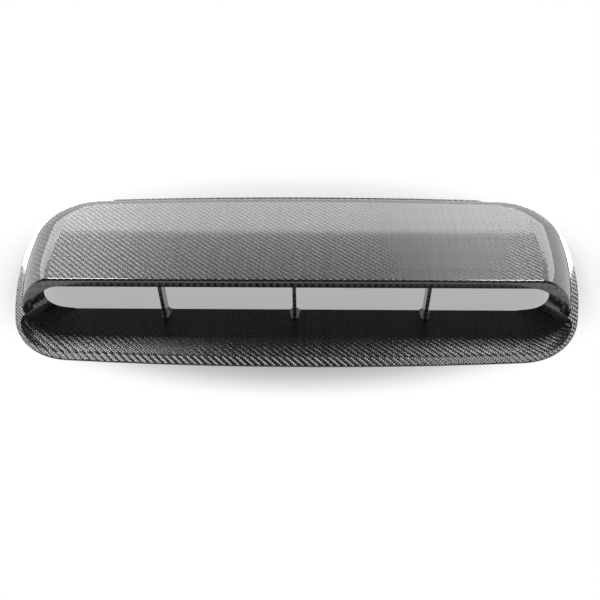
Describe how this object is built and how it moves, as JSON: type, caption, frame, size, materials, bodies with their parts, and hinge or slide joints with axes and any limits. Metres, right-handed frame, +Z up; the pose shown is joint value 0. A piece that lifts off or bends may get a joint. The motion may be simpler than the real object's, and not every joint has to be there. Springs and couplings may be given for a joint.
{
  "type": "bonnet scoop vent",
  "caption": "Wide low carbon-fibre bonnet scoop: a sloping shell with a lipped front mouth, a dished intake tray below it, upright vanes in the mouth and studs underneath.",
  "frame": {"origin": "centre of the four studs, on the plane of the flange's underside", "axes": "+X across the car, +Y to the rear, +Z up; the mouth faces -Y"},
  "size_m": [0.681, 0.2759, 0.0671],
  "materials": {
    "carbon": "2x2 twill carbon laminate under a gloss clear coat",
    "stud_steel": "zinc plated"
  },
  "bodies": {
    "root": {"outer_shell": "carbon", "intake_tray": "carbon", "vane_left": "carbon", "vane_centre": "carbon", "vane_right": "carbon", "stud_front_left": "stud_steel", "stud_front_right": "stud_steel", "stud_rear_left": "stud_steel", "stud_rear_right": "stud_steel"}
  },
  "joints": []
}
